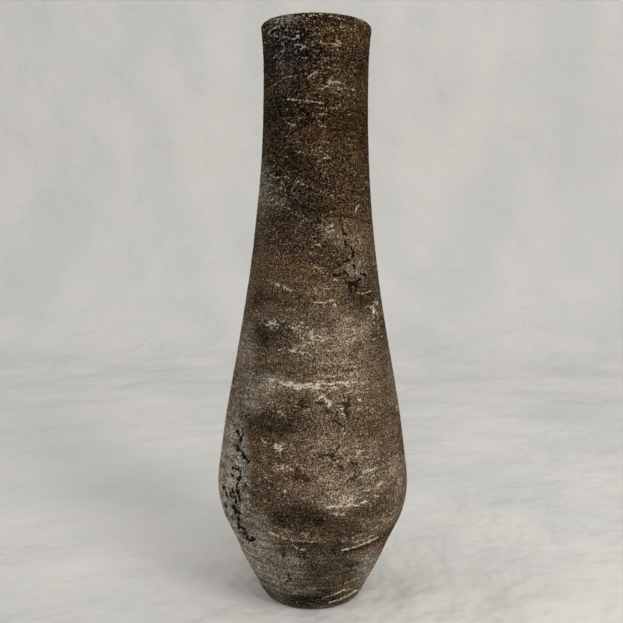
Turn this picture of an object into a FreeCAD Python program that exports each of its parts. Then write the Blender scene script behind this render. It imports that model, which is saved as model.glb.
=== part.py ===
import FreeCAD, Part
import math
import os
import Sketcher

# A tall floor vase, thrown in sections that are luted together with slip and then coated.
# Millimetres. +Z is up, and the origin is the middle of the foot, on the floor.
# Every surface follows one outline, the vase's outer face, drawn at several insets.

doc = FreeCAD.newDocument("floor_vase")
sheet = doc.addObject("Spreadsheet::Sheet", "Sizes")

# Driving sizes. Radii are those of the finished outer face.
SIZES = {
    # The outline, from the floor up.
    "foot_radius": 67.0,
    "belly_radius": 129.0,
    "belly_height": 158.0,
    "belly_round": 117.0,
    "shoulder_radius": 108.0,
    "shoulder_height": 310.0,
    "neck_radius": 68.0,
    "throat_length": 18.0,
    "throat_drop": 58.0,
    "rim_flare": 3.0,
    "total_height": 760.0,
    # The clay.
    "wall_thickness": 10.0,
    "floor_thickness": 12.0,
    "foot_bevel": 3.0,
    "foot_ring_width": 16.0,
    "foot_recess_depth": 2.0,
    "lip_coil_height": 18.0,
    # The seams between the sections, and the coils pressed over them inside.
    "neck_seam_share": 0.5,
    "slip_thickness": 1.0,
    "skirt_thickness": 4.5,
    "collar_height": 8.0,
    "luting_coil_height": 14.0,
    "luting_coil_stand": 5.0,
    "foot_coil_stand": 7.0,
    # The skin over the clay.
    "coat_thickness": 1.5,
}

for row, (alias, number) in enumerate(SIZES.items(), start=1):
    sheet.set("A%d" % row, alias)
    sheet.set("B%d" % row, str(number))
    sheet.setAlias("B%d" % row, alias)
doc.recompute()


def size(alias):
    """The number that the sheet holds under an alias."""
    return float(sheet.get(alias))


# The layers of the wall, counted in from the outer face.
CLAY_LAYERS = ["coat_thickness"]
SKIRT_LAYERS = CLAY_LAYERS + ["skirt_thickness"]
COLLAR_LAYERS = SKIRT_LAYERS + ["slip_thickness"]
HOLLOW_LAYERS = CLAY_LAYERS + ["wall_thickness"]
LINED_LAYERS = HOLLOW_LAYERS + ["coat_thickness"]


def depth_rule(layers):
    """How far in a face lies, as a rule on the sheet's sizes."""
    return "(%s)" % " + ".join("Sizes." + layer for layer in layers) if layers else "0"


# Heights and radii that several pieces share, as rules on the sheet's sizes.
FLOOR_TOP = "Sizes.floor_thickness"
SHOULDER_SEAM = "Sizes.shoulder_height"
THROAT_TOP = "Sizes.total_height - Sizes.throat_drop"
THROAT_BOTTOM = THROAT_TOP + " - Sizes.throat_length"
TAPER_HEIGHT = "(%s - Sizes.shoulder_height)" % THROAT_BOTTOM
NECK_SEAM = "Sizes.shoulder_height + Sizes.neck_seam_share * " + TAPER_HEIGHT
LIP_SEAM = "Sizes.total_height - Sizes.lip_coil_height"
LIP_ROUND = "(Sizes.wall_thickness / 2 + Sizes.coat_thickness)"
LIP_CENTRE = "Sizes.neck_radius + Sizes.rim_flare - " + LIP_ROUND
HOLLOW = depth_rule(HOLLOW_LAYERS)


# Where each arc starts and ends, so that every sketch is solved from its first drawing.
def point(x, y):
    return FreeCAD.Vector(x, y, 0)


def throat_heights():
    top = size("total_height") - size("throat_drop")
    return top - size("throat_length"), top


def bowl_and_belly(inset):
    """The foot, where the straight bowl meets the belly's circle, and that circle's centre."""
    foot = point(size("foot_radius") - inset, 0)
    radius = size("belly_round")
    centre = point(size("belly_radius") - radius - inset, size("belly_height"))
    spoke = centre - foot
    run = math.sqrt(spoke.Length ** 2 - radius ** 2)
    along = point(spoke.x * run + spoke.y * radius, spoke.y * run - spoke.x * radius)
    return foot, foot + along * (run / spoke.Length ** 2), centre


def taper(inset):
    """The shoulder, the bottom of the throat, and the centre of the hollow curve between them."""
    shoulder = point(size("shoulder_radius") - inset, size("shoulder_height"))
    throat = point(size("neck_radius") - inset, throat_heights()[0])
    draw = shoulder.x - throat.x
    radius = (draw ** 2 + (throat.y - shoulder.y) ** 2) / (2 * draw)
    return shoulder, throat, throat + point(radius, 0)


def flank(belly_centre, shoulder, taper_centre):
    """Where the long flank leaves the belly's circle, its own centre, and whether it bulges."""
    radius = size("belly_round")
    inward = (shoulder - taper_centre).normalize()
    spoke = shoulder - belly_centre
    bend = (radius ** 2 - spoke.Length ** 2) / (2 * (spoke.dot(inward) + radius))
    centre = shoulder + inward * bend
    bulges = bend > 0
    touch = belly_centre - centre if bulges else centre - belly_centre
    return belly_centre + touch.normalize() * radius, centre, bulges


def lip(inset):
    """The top of the throat, where its flare meets the lip, and the centres of the two arcs."""
    lip_round = size("wall_thickness") / 2 + size("coat_thickness")
    throat = point(size("neck_radius") - inset, throat_heights()[1])
    flare = size("rim_flare")
    centre = point(size("neck_radius") + flare - lip_round, size("total_height") - lip_round)
    bend = ((centre.y - throat.y) ** 2 + flare ** 2) / (2 * flare)
    flare_centre = point(size("neck_radius") - lip_round + bend, throat.y)
    edge = centre + (flare_centre - centre).normalize() * (lip_round - inset)
    return throat, edge, centre, flare_centre


class Drawing:
    """A sketch in a body's XZ plane whose dimensions follow the sheet."""

    def __init__(self, body):
        self.body = body
        self.sketch = body.newObject("Sketcher::SketchObject", body.Name + "_sketch")
        plane = [part for part in body.Origin.OriginFeatures if part.Role == "XZ_Plane"][0]
        self.sketch.AttachmentSupport = [(plane, "")]
        self.sketch.MapMode = "FlatFace"

    def line(self, start, end, construction=False):
        return self.sketch.addGeometry(Part.LineSegment(start, end), construction)

    def arc(self, centre, start, end):
        """The arc that runs counter-clockwise about its centre from start to end."""
        circle = Part.Circle(centre, FreeCAD.Vector(0, 0, 1), (start - centre).Length)
        turns = [math.atan2(*reversed((tip - centre)[:2])) for tip in (start, end)]
        return self.sketch.addGeometry(Part.ArcOfCircle(circle, *turns))

    def tie(self, kind, *ends):
        return self.sketch.addConstraint(Sketcher.Constraint(kind, *ends))

    def radius(self, label, edge, rule):
        drawn = self.sketch.Geometry[edge].Radius
        self.follow(self.tie("Radius", edge, drawn), label, rule)

    def reach(self, label, edge, end, rule):
        """How far a point lies from the axis."""
        drawn = self.sketch.getPoint(edge, end).x
        self.follow(self.tie("DistanceX", -1, 1, edge, end, drawn), label, rule)

    def height(self, label, edge, end, rule):
        """How far a point lies above the floor."""
        drawn = self.sketch.getPoint(edge, end).y
        self.follow(self.tie("DistanceY", -1, 1, edge, end, drawn), label, rule)

    def follow(self, constraint, label, rule):
        """Binds a dimension to its rule, or leaves it as a measurement where there is none."""
        self.sketch.renameConstraint(constraint, label)
        if rule is None:
            self.sketch.setDriving(constraint, False)
        else:
            self.sketch.setExpression("Constraints." + label, rule)

    def turn(self):
        """The solid that the sketch sweeps once round the axis."""
        turned = self.body.newObject("PartDesign::Revolution", self.body.Name + "_turned")
        turned.Profile = self.sketch
        turned.ReferenceAxis = (self.sketch, ["V_Axis"])
        turned.Angle = 360
        self.body.Tip = turned
        return self.body


class Outline(Drawing):
    """The vase's outline, moved in by the named layers of the wall."""

    def __init__(self, body, layers):
        super().__init__(body)
        self.inset = sum(size(layer) for layer in layers)
        self.inset_rule = depth_rule(layers)

    def draw_below_throat(self):
        """Foot, straight bowl, round belly, long flank and hollow taper, up to the throat."""
        foot, bowl_end, belly_centre = bowl_and_belly(self.inset)
        shoulder, throat, taper_centre = taper(self.inset)
        flank_start, flank_centre, bulges = flank(belly_centre, shoulder, taper_centre)
        flank_ends = (flank_start, shoulder) if bulges else (shoulder, flank_start)
        lower, upper = (1, 2) if bulges else (2, 1)
        base = self.line(point(0, 0), foot)
        self.bowl = self.line(foot, bowl_end)
        belly = self.arc(belly_centre, bowl_end, flank_start)
        side = self.arc(flank_centre, *flank_ends)
        self.taper = self.arc(taper_centre, throat, shoulder)
        spoke = self.line(belly_centre, belly_centre + point(size("belly_round"), 0), True)
        self.tie("Coincident", base, 1, -1, 1)
        self.tie("Horizontal", base)
        self.tie("Coincident", base, 2, self.bowl, 1)
        self.tie("Tangent", self.bowl, 2, belly, 1)
        self.tie("Tangent", belly, 2, side, lower)
        self.tie("Tangent", side, upper, self.taper, 2)
        self.tie("Coincident", spoke, 1, belly, 3)
        self.tie("PointOnObject", spoke, 2, belly)
        self.tie("Horizontal", spoke)
        self.radius("belly_round", belly, "Sizes.belly_round")
        self.height("belly_height", spoke, 2, "Sizes.belly_height")
        self.height("shoulder_height", self.taper, 2, "Sizes.shoulder_height")
        self.height("throat_bottom", self.taper, 1, THROAT_BOTTOM)
        self.reach("foot_radius", base, 2, "Sizes.foot_radius - " + self.inset_rule)
        self.reach("belly_radius", spoke, 2, "Sizes.belly_radius - " + self.inset_rule)
        self.reach("shoulder_radius", self.taper, 2, "Sizes.shoulder_radius - " + self.inset_rule)
        self.reach("neck_radius", self.taper, 1, "Sizes.neck_radius - " + self.inset_rule)
        return base, throat

    def draw_lip(self, throat_bottom):
        """The straight throat, its flare, and half of the rounded lip up to its crest."""
        throat_top, edge, lip_centre, flare_centre = lip(self.inset)
        outside = edge.x > lip_centre.x
        crest = lip_centre + point(0, (edge - lip_centre).Length)
        wall = self.line(throat_bottom, throat_top)
        flare = self.arc(flare_centre, edge, throat_top)
        bead = self.arc(lip_centre, edge, crest) if outside else self.arc(lip_centre, crest, edge)
        edge_end, crest_end = (1, 2) if outside else (2, 1)
        bead_rule = "%s - %s" if outside else "-%s + %s"
        self.tie("Tangent", self.taper, 1, wall, 1)
        self.tie("Vertical", wall)
        self.tie("Tangent", wall, 2, flare, 2)
        self.tie("Tangent", flare, 1, bead, edge_end)
        self.tie("Vertical", bead, 3, bead, crest_end)
        self.height("throat_top", wall, 2, THROAT_TOP)
        self.radius("bead_radius", bead, bead_rule % (LIP_ROUND, self.inset_rule))
        self.reach("lip_centre", bead, 3, LIP_CENTRE)
        self.height("lip_height", bead, 3, "Sizes.total_height - " + LIP_ROUND)
        return bead, crest_end, crest

    def close(self, base, edge, end, tip):
        """A level lid from the outline's top to the axis, and the axis back down to the floor."""
        middle = point(0, tip.y)
        lid = self.line(tip, middle)
        axis = self.line(middle, point(0, 0))
        self.tie("Coincident", edge, end, lid, 1)
        self.tie("Horizontal", lid)
        self.tie("Coincident", lid, 2, axis, 1)
        self.tie("Vertical", axis)
        self.tie("Coincident", axis, 2, base, 1)


def drawn_form(name, layers, lipped=True):
    """An outline at the depth of the named layers, closed to the axis."""
    outline = Outline(doc.addObject("PartDesign::Body", name), layers)
    base, throat = outline.draw_below_throat()
    if lipped:
        outline.close(base, *outline.draw_lip(throat))
    else:
        outline.tie("Horizontal", outline.taper, 1, outline.taper, 3)
        outline.close(base, outline.taper, 1, throat)
    return outline


outer_outline = drawn_form("outer_form", [])
outer_form = outer_outline.turn()
clay_form = drawn_form("clay_form", CLAY_LAYERS).turn()
hollow_form = drawn_form("hollow_form", HOLLOW_LAYERS).turn()
lined_form = drawn_form("lined_form", LINED_LAYERS).turn()
skirt_form = drawn_form("skirt_form", SKIRT_LAYERS, lipped=False).turn()
collar_form = drawn_form("collar_form", COLLAR_LAYERS, lipped=False).turn()


def measure_seams(outline):
    """Reads off the outer face the belly seam's place and the neck seam's radius."""
    outline.height("belly_seam_height", outline.bowl, 2, None)
    outline.reach("belly_seam_radius", outline.bowl, 2, None)
    neck_height = size("shoulder_height")
    neck_height += size("neck_seam_share") * (throat_heights()[0] - neck_height)
    _, throat, centre = taper(outline.inset)
    bend = centre.x - throat.x
    neck_radius = centre.x - math.sqrt(bend ** 2 - (throat.y - neck_height) ** 2)
    mark = outline.sketch.addGeometry(Part.Point(point(neck_radius, neck_height)), True)
    outline.tie("PointOnObject", mark, 1, outline.taper)
    outline.height("neck_seam_height", mark, 1, NECK_SEAM)
    outline.reach("neck_seam_radius", mark, 1, None)
    seams = doc.addObject("App::VarSet", "Seams")
    for label in ("belly_seam_height", "belly_seam_radius", "neck_seam_radius"):
        seams.addProperty("App::PropertyLength", label)
        seams.setExpression(label, "%s.Constraints.%s" % (outline.sketch.Name, label))


measure_seams(outer_outline)
BELLY_SEAM = "Seams.belly_seam_height.Value"
BELLY_SEAM_RADIUS = "Seams.belly_seam_radius.Value"
NECK_SEAM_RADIUS = "Seams.neck_seam_radius.Value"
BOWL_SLOPE = "(%s - Sizes.foot_radius) / %s" % (BELLY_SEAM_RADIUS, BELLY_SEAM)
FLOOR_RADIUS = "Sizes.foot_radius + %s * Sizes.floor_thickness" % BOWL_SLOPE


def bound(kind, name, **rules):
    """A primitive whose dimensions follow the given rules."""
    made = doc.addObject("Part::" + kind, name)
    for dimension, rule in rules.items():
        made.setExpression(dimension, rule)
    return made


def joined(kind, name, base, tool):
    """A boolean of two solids: Cut, Common or Fuse."""
    made = doc.addObject("Part::" + kind, name)
    made.Base = base
    made.Tool = tool
    return made


def up_to(name, level):
    """Everything from the floor up to a level, and well clear of the vase all round."""
    return bound("Cylinder", name, Radius="Sizes.belly_radius + Sizes.shoulder_radius", Height=level)


wall = joined("Cut", "wall", clay_form, hollow_form)


# Each seam has an under face, the top of the section below it, and an over face, the bottom of
# the one above it, a layer of slip apart. On a collared seam the inner half of the wall stands
# up as a collar, and the section above it hangs over that as a skirt.
def seam_faces(seam, level, collared):
    sides = [("under", "0", collar_form), ("over", "Sizes.slip_thickness", skirt_form)]
    faces = []
    for side, lift, form in sides:
        name = "%s_%s" % (seam, side)
        face = up_to(name, "%s + %s" % (level, lift))
        if collared:
            top = up_to(name + "_step", "%s + %s + Sizes.collar_height" % (level, lift))
            collar = joined("Common", name + "_collar", form, top)
            face = joined("Fuse", name + "_face", face, collar)
        faces.append(face)
    return faces


SEAMS = [
    ("foot", FLOOR_TOP, False),
    ("belly", BELLY_SEAM, True),
    ("shoulder", SHOULDER_SEAM, True),
    ("neck", NECK_SEAM, True),
    ("lip", LIP_SEAM, False),
]
COILED_SEAMS = [
    ("belly", BELLY_SEAM, BELLY_SEAM_RADIUS),
    ("shoulder", SHOULDER_SEAM, "Sizes.shoulder_radius"),
    ("neck", NECK_SEAM, NECK_SEAM_RADIUS),
]
SECTIONS = ["lower_bowl", "belly_section", "shoulder_section", "neck_section"]

faces = {seam: seam_faces(seam, level, collared) for seam, level, collared in SEAMS}


def slip_ring(seam):
    under, over = faces[seam]
    filled = joined("Common", seam + "_slip_blank", wall, over)
    return joined("Cut", seam + "_slip_ring", filled, under)


def wall_section(name, seam_below, seam_above):
    blank = joined("Common", name + "_blank", wall, faces[seam_above][0])
    return joined("Cut", name, blank, faces[seam_below][1])


def foot_disc():
    """The slab that the vase stands on, bevelled at its edge and hollowed so that it sits still."""
    slab = joined("Common", "foot_slab", clay_form, faces["foot"][0])
    edge = joined("Cut", "foot_upper", slab, up_to("foot_bevel_level", "Sizes.foot_bevel"))
    standing = "Sizes.foot_radius - Sizes.coat_thickness"
    bevel = bound(
        "Cone",
        "foot_bevel_cone",
        Radius1=standing + " - Sizes.foot_bevel",
        Radius2="%s + Sizes.foot_bevel * %s" % (standing, BOWL_SLOPE),
        Height="Sizes.foot_bevel",
    )
    recess = bound(
        "Cylinder",
        "foot_recess",
        Radius=standing + " - Sizes.foot_bevel - Sizes.foot_ring_width",
        Height="Sizes.foot_recess_depth",
    )
    return joined("Cut", "foot_disc", joined("Fuse", "foot_blank", edge, bevel), recess)


def lip_coil():
    return joined("Cut", "lip_coil", wall, faces["lip"][1])


def ring(name, corners):
    """The ring swept by a four-cornered section, given a rule for each corner's reach and height."""
    drawing = Drawing(doc.addObject("PartDesign::Body", name))
    near, far = size("foot_radius"), size("belly_radius")
    low, high = size("floor_thickness"), size("belly_height")
    drawn = [point(near, low), point(near, high), point(far, high), point(far, low)]
    edges = [drawing.line(start, end) for start, end in zip(drawn, drawn[1:] + drawn[:1])]
    for number, (reach, height) in enumerate(corners):
        edge = edges[number]
        drawing.tie("Coincident", edges[number - 1], 2, edge, 1)
        drawing.reach("reach_%d" % number, edge, 1, reach)
        drawing.height("height_%d" % number, edge, 1, height)
    return drawing.turn()


def luting_coil(seam, level, wall_radius, stand, seated=False):
    """A coil pressed flat over a seam from the inside, with edges bevelled down to the wall.

    A seated coil lies on the level, in a corner, and only its upper edge is bevelled.
    """
    face = "%s - %s - %s" % (wall_radius, HOLLOW, stand)
    back = "%s - %s + Sizes.wall_thickness" % (wall_radius, HOLLOW)
    bevel = "(%s + Sizes.wall_thickness)" % stand
    half = "Sizes.luting_coil_height / 2"
    middle = level if seated else level + " + Sizes.collar_height / 2"
    face_top = "%s + %s" % (middle, half)
    face_bottom = level if seated else "%s - %s" % (middle, half)
    back_bottom = level if seated else "%s - %s" % (face_bottom, bevel)
    corners = [
        (face, face_bottom),
        (face, face_top),
        (back, "%s + %s" % (face_top, bevel)),
        (back, back_bottom),
    ]
    return joined("Common", seam + "_luting_coil", hollow_form, ring(seam + "_coil", corners))


def mineral_coat():
    """The skin outside the clay, over the lip and down inside to the bottom of the throat."""
    thick = joined("Cut", "coat_and_wall", outer_form, lined_form)
    skin = joined("Cut", "coat_skin", thick, wall)
    bare = joined("Common", "bare_inside", hollow_form, up_to("bare_level", THROAT_BOTTOM))
    trimmed = joined("Cut", "coat_trimmed", skin, bare)
    return joined("Cut", "mineral_coat", trimmed, up_to("coat_start", "Sizes.foot_bevel"))


nodes = [foot_disc(), lip_coil(), mineral_coat()]
nodes += [slip_ring(seam) for seam, _, _ in SEAMS]
for number, name in enumerate(SECTIONS):
    nodes.append(wall_section(name, SEAMS[number][0], SEAMS[number + 1][0]))
nodes.append(luting_coil("foot", FLOOR_TOP, FLOOR_RADIUS, "Sizes.foot_coil_stand", seated=True))
for seam, level, seam_radius in COILED_SEAMS:
    nodes.append(luting_coil(seam, level, seam_radius, "Sizes.luting_coil_stand"))

doc.recompute()

for made in doc.Objects:
    assert not {"Invalid", "Error"} & set(made.State), "%s: %s" % (made.Name, made.getStatusString())

os.makedirs("parts", exist_ok=True)
for node in nodes:
    shape = node.Shape
    assert not shape.isNull() and shape.isValid(), node.Label
    assert len(shape.Solids) == 1, "%s is not one solid" % node.Label
    shape.exportStep("parts/%s.step" % node.Label)
    print("%-22s %10.0f mm3" % (node.Label, shape.Volume))
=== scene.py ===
# %% [markdown]
# # A floor vase with a weathered mineral coat
#
# The vase is thrown in sections that are luted together, and then brushed over with a gritty mineral
# coat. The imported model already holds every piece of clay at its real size. This lesson builds what the
# eye sees: the coat, with its ridges, dry-brushed chalk and flaked patches, and the bare clay that shows
# in the mouth and under the foot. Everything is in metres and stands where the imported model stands.

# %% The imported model
import itertools
import math

import bpy
import numpy as np
from mathutils import Matrix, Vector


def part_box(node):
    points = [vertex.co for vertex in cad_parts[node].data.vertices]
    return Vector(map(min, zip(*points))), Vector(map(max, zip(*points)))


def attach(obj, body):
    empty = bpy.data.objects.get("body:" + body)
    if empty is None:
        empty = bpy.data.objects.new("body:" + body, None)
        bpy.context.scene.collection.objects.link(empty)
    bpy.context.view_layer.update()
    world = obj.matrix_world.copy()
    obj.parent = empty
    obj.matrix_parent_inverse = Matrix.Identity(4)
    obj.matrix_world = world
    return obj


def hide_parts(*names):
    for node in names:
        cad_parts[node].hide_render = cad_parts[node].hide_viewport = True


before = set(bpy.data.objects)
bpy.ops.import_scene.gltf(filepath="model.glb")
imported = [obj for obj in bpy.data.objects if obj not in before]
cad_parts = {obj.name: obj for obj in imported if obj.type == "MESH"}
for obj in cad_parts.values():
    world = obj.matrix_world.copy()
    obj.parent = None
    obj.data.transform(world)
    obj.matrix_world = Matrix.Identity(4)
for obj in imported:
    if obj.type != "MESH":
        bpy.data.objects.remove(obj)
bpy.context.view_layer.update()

print("pieces of clay:", sorted(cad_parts))

# %% [markdown]
# ## Sizes
#
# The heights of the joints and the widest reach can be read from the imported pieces, so that the coat
# always fits the clay. The few sizes that no single piece shows are named here, as a thrower would note
# them. All of them are radii or heights of the finished outer face.

# %% Sizes of the vase
MM = 0.001
coat_low, coat_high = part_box("mineral_coat")
COAT_START = coat_low.z
TOTAL_HEIGHT = coat_high.z
BELLY_RADIUS = coat_high.x
BELLY_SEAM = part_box("belly_slip_ring")[0].z
SHOULDER_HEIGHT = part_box("shoulder_slip_ring")[0].z
NECK_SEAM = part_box("neck_slip_ring")[0].z
FOOT_RADIUS = 67 * MM
BELLY_HEIGHT = 158 * MM
BELLY_ROUND = 117 * MM
SHOULDER_RADIUS = 108 * MM
NECK_RADIUS = 68 * MM
THROAT_TOP = TOTAL_HEIGHT - 58 * MM
THROAT_BOTTOM = THROAT_TOP - 18 * MM
RIM_FLARE = 3 * MM
WALL = 10 * MM
COAT = 1.5 * MM
print("height %.3f m, belly %.3f m wide" % (TOTAL_HEIGHT, 2 * BELLY_RADIUS))

# %% [markdown]
# ## The camera
#
# The vase was photographed from a little over a metre away, from two thirds of its height, looking
# slightly down.
# A lens length and a place for the camera can be found by matching the outline: the foot's curve
# shows how steeply the camera looks down, and the rim's curve how near it stands. It comes first, because
# the marks on the coat are placed by where they fall in its picture.

# %% The camera
PICTURE_SIDE = 623
FOCAL_PIXELS = 783.07
CAMERA_PLACE = (-3.46 * MM, -1046.57 * MM, 508.96 * MM)
CAMERA_PITCH = math.radians(6.56)
CAMERA_ROLL = math.radians(0.45)

camera = bpy.data.objects.new("camera", bpy.data.cameras.new("camera"))
bpy.context.scene.collection.objects.link(camera)
bpy.context.scene.camera = camera
camera.data.sensor_width = 36
camera.data.lens = FOCAL_PIXELS * camera.data.sensor_width / PICTURE_SIDE
upright = Matrix.Rotation(math.pi / 2 - CAMERA_PITCH, 4, "X")
camera.matrix_world = Matrix.Translation(CAMERA_PLACE) @ upright @ Matrix.Rotation(CAMERA_ROLL, 4, "Z")
print("lens %.1f mm" % camera.data.lens)


def in_picture(places):
    """Where points fall in the picture: pixels across from its left side and down from its top."""
    turned = np.array(camera.matrix_world.inverted())
    seen = places @ turned[:3, :3].T + turned[:3, 3]
    across = PICTURE_SIDE / 2 + FOCAL_PIXELS * seen[..., 0] / -seen[..., 2]
    down = PICTURE_SIDE / 2 - FOCAL_PIXELS * seen[..., 1] / -seen[..., 2]
    return across, down


# %% [markdown]
# ## Floor, backdrop and light
#
# Matte pottery needs soft light: a large lamp up on the right gives the form its shade, and an even sky
# fills the rest. The floor and the backdrop are one pale sweep of softly creased cloth, with the folds'
# shade painted into its colour. It could be two planes, but a single curved sheet has no corner line
# behind the vase.

# %% A node helper and the floor
class Finish:
    """A material that is built from nodes, step by step, from the bare surface outwards."""

    def __init__(self, name):
        self.material = bpy.data.materials.new(name)
        self.material.use_nodes = True
        self.nodes = self.material.node_tree.nodes
        self.links = self.material.node_tree.links
        self.shader = self.nodes["Principled BSDF"]
        self.places = self.nodes.new("ShaderNodeTexCoord").outputs["Object"]

    def put(self, source, socket):
        """A link from another node's output, or a plain value."""
        if isinstance(source, bpy.types.NodeSocket):
            self.links.new(source, socket)
        else:
            socket.default_value = source

    def mark(self, name):
        """A mask that the mesh carries."""
        node = self.nodes.new("ShaderNodeAttribute")
        node.attribute_name = name
        return node.outputs["Fac"]

    def cloud(self, cell, flat=1, detail=2, roughness=0.5):
        """Random cloudiness from 0 to 1 with swells as wide as the cell, and flat times lower than wide."""
        stretch = self.nodes.new("ShaderNodeVectorMath")
        stretch.operation = "MULTIPLY"
        stretch.inputs[1].default_value = (1 / cell, 1 / cell, flat / cell)
        self.links.new(self.places, stretch.inputs[0])
        node = self.nodes.new("ShaderNodeTexNoise")
        node.inputs["Scale"].default_value = 1
        node.inputs["Detail"].default_value = detail
        node.inputs["Roughness"].default_value = roughness
        self.links.new(stretch.outputs[0], node.inputs["Vector"])
        return node.outputs["Fac"]

    def between(self, value, low, high, first=0, last=1):
        """The value's place between low and high, eased, and scaled to run from first to last."""
        node = self.nodes.new("ShaderNodeMapRange")
        node.interpolation_type = "SMOOTHSTEP"
        self.put(value, node.inputs["Value"])
        for socket, number in zip(("From Min", "From Max", "To Min", "To Max"), (low, high, first, last)):
            node.inputs[socket].default_value = number
        return node.outputs["Result"]

    def sum(self, first, second, kind="ADD", clamp=False):
        """Two values added, or joined by another sum."""
        node = self.nodes.new("ShaderNodeMath")
        node.operation = kind
        node.use_clamp = clamp
        self.put(first, node.inputs[0])
        self.put(second, node.inputs[1])
        return node.outputs[0]

    def times(self, first, second, clamp=False):
        return self.sum(first, second, "MULTIPLY", clamp)

    def blend(self, under, over, share, kind="MIX"):
        """Colour over colour, by a share from 0 to 1."""
        node = self.nodes.new("ShaderNodeMix")
        node.data_type = "RGBA"
        node.blend_type = kind
        self.put(share, node.inputs["Factor"])
        colour_a, colour_b = (socket for socket in node.inputs if socket.type == "RGBA")
        self.put(under, colour_a)
        self.put(over, colour_b)
        return next(socket for socket in node.outputs if socket.type == "RGBA")

    def grey(self, value):
        """A value as a grey colour, to darken or lighten another colour by."""
        node = self.nodes.new("ShaderNodeCombineColor")
        for socket in node.inputs[:3]:
            self.put(value, socket)
        return node.outputs[0]

    def shade(self, colour, value):
        return self.blend(colour, self.grey(value), 1, "MULTIPLY")

    def emboss(self, height, depth):
        """Relief too fine for the mesh, as deep as given."""
        node = self.nodes.new("ShaderNodeBump")
        node.inputs["Strength"].default_value = 1
        node.inputs["Distance"].default_value = depth
        self.put(height, node.inputs["Height"])
        self.put(node.outputs["Normal"], self.shader.inputs["Normal"])


def tone(red, green, blue):
    """A colour as a colour picker shows it, from 0 to 255, made linear for the shader."""
    shown = [number / 255 for number in (red, green, blue)]
    return [n / 12.92 if n <= 0.04045 else ((n + 0.055) / 1.055) ** 2.4 for n in shown] + [1]


def sheet_mesh(name, places, faces):
    mesh = bpy.data.meshes.new(name)
    mesh.from_pydata([tuple(place) for place in places], [], faces)
    mesh.polygons.foreach_set("use_smooth", [True] * len(mesh.polygons))
    piece = bpy.data.objects.new(name, mesh)
    bpy.context.scene.collection.objects.link(piece)
    return piece


FLOOR_HALF_WIDTH = 6.0
FLOOR_FRONT = -3.0
BACKDROP_AT = 1.6
BACKDROP_HEIGHT = 5.0
SWEEP_RADIUS = 0.8
SWEEP_POINTS = 25
FOLD_SHADE_WIDTH = 0.3
FOLD_WIDTH = 0.2
FOLD_DEPTH = 0.045
turn = np.linspace(0, math.pi / 2, SWEEP_POINTS)
sweep_y = np.r_[FLOOR_FRONT, BACKDROP_AT + SWEEP_RADIUS * np.sin(turn), BACKDROP_AT + SWEEP_RADIUS]
sweep_z = np.r_[0, SWEEP_RADIUS * (1 - np.cos(turn)), BACKDROP_HEIGHT]
sides = [(x, y, z) for y, z in zip(sweep_y, sweep_z) for x in (-FLOOR_HALF_WIDTH, FLOOR_HALF_WIDTH)]
strips = [(2 * i, 2 * i + 1, 2 * i + 3, 2 * i + 2) for i in range(len(sweep_y) - 1)]
floor = sheet_mesh("studio_floor", sides, strips)
cloth = Finish("pale_backdrop")
# The cloth's colour drifts in soft clouds between two pale tones: painted shade of its folds.
painted_fold_shade = cloth.between(cloth.cloud(FOLD_SHADE_WIDTH, 0.5, 3), 0.35, 0.65)
cloth.put(cloth.blend(tone(227, 226, 222), tone(237, 235, 231), painted_fold_shade), cloth.shader.inputs["Base Color"])
cloth.put(0.9, cloth.shader.inputs["Roughness"])
cloth.emboss(cloth.cloud(FOLD_WIDTH, 1, 4), FOLD_DEPTH)
floor.data.materials.append(cloth.material)

# %% Light
SKY_STRENGTH = 0.62
KEY_STRENGTH = 26
KEY_PLACE = (1.5, -1.7, 1.9)
KEY_AIM = (0, 0, 0.35)
KEY_WIDTH = 1.2
world = bpy.data.worlds.new("soft_sky")
bpy.context.scene.world = world
world.use_nodes = True
world.node_tree.nodes["Background"].inputs["Color"].default_value = (1, 0.997, 0.99, 1)
world.node_tree.nodes["Background"].inputs["Strength"].default_value = SKY_STRENGTH


def soft_lamp(name, place, aim, width, strength, colour):
    lamp = bpy.data.lights.new(name, "AREA")
    lamp.shape = "DISK"
    lamp.size = width
    lamp.energy = strength
    lamp.color = colour
    holder = bpy.data.objects.new(name, lamp)
    bpy.context.scene.collection.objects.link(holder)
    away = np.array(place) - np.array(aim)
    holder.location = place
    holder.rotation_euler = (
        math.acos(away[2] / np.linalg.norm(away)),
        0,
        math.atan2(away[1], away[0]) + math.pi / 2,
    )


soft_lamp("key_lamp", KEY_PLACE, KEY_AIM, KEY_WIDTH, KEY_STRENGTH, (1, 0.97, 0.93))
bpy.context.scene.view_settings.view_transform = "Standard"
print("lamps:", [item.name for item in bpy.data.lights])

# %% [markdown]
# ## The outline
#
# A thrown pot is one outline turned about its axis. This one has a straight bowl, a round belly, a long
# flank, a hollow taper, a straight throat, a slight flare and a rounded lip, each meeting the next
# without a corner. It could be a spline through measured points, but arcs and lines that touch keep the
# wall exactly on the clay and need only the sizes above.

# %% Lines and arcs of the outline
FINE = 0.2 * MM


def spot(radius, height):
    return np.array([radius, height], float)


def straight(start, end):
    """Points along a line, close together."""
    count = max(2, int(np.linalg.norm(end - start) / FINE))
    return start + np.linspace(0, 1, count)[:, None] * (end - start)


def bow(centre, start, end):
    """Points along the shorter arc from start to end about a centre."""
    first, last = (math.atan2(*(tip - centre)[::-1]) for tip in (start, end))
    swing = (last - first + math.pi) % (2 * math.pi) - math.pi
    radius = np.linalg.norm(start - centre)
    angles = first + np.linspace(0, 1, max(2, int(abs(swing) * radius / FINE))) * swing
    return centre + radius * np.c_[np.cos(angles), np.sin(angles)]


def unit(vector):
    return vector / np.linalg.norm(vector)


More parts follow.
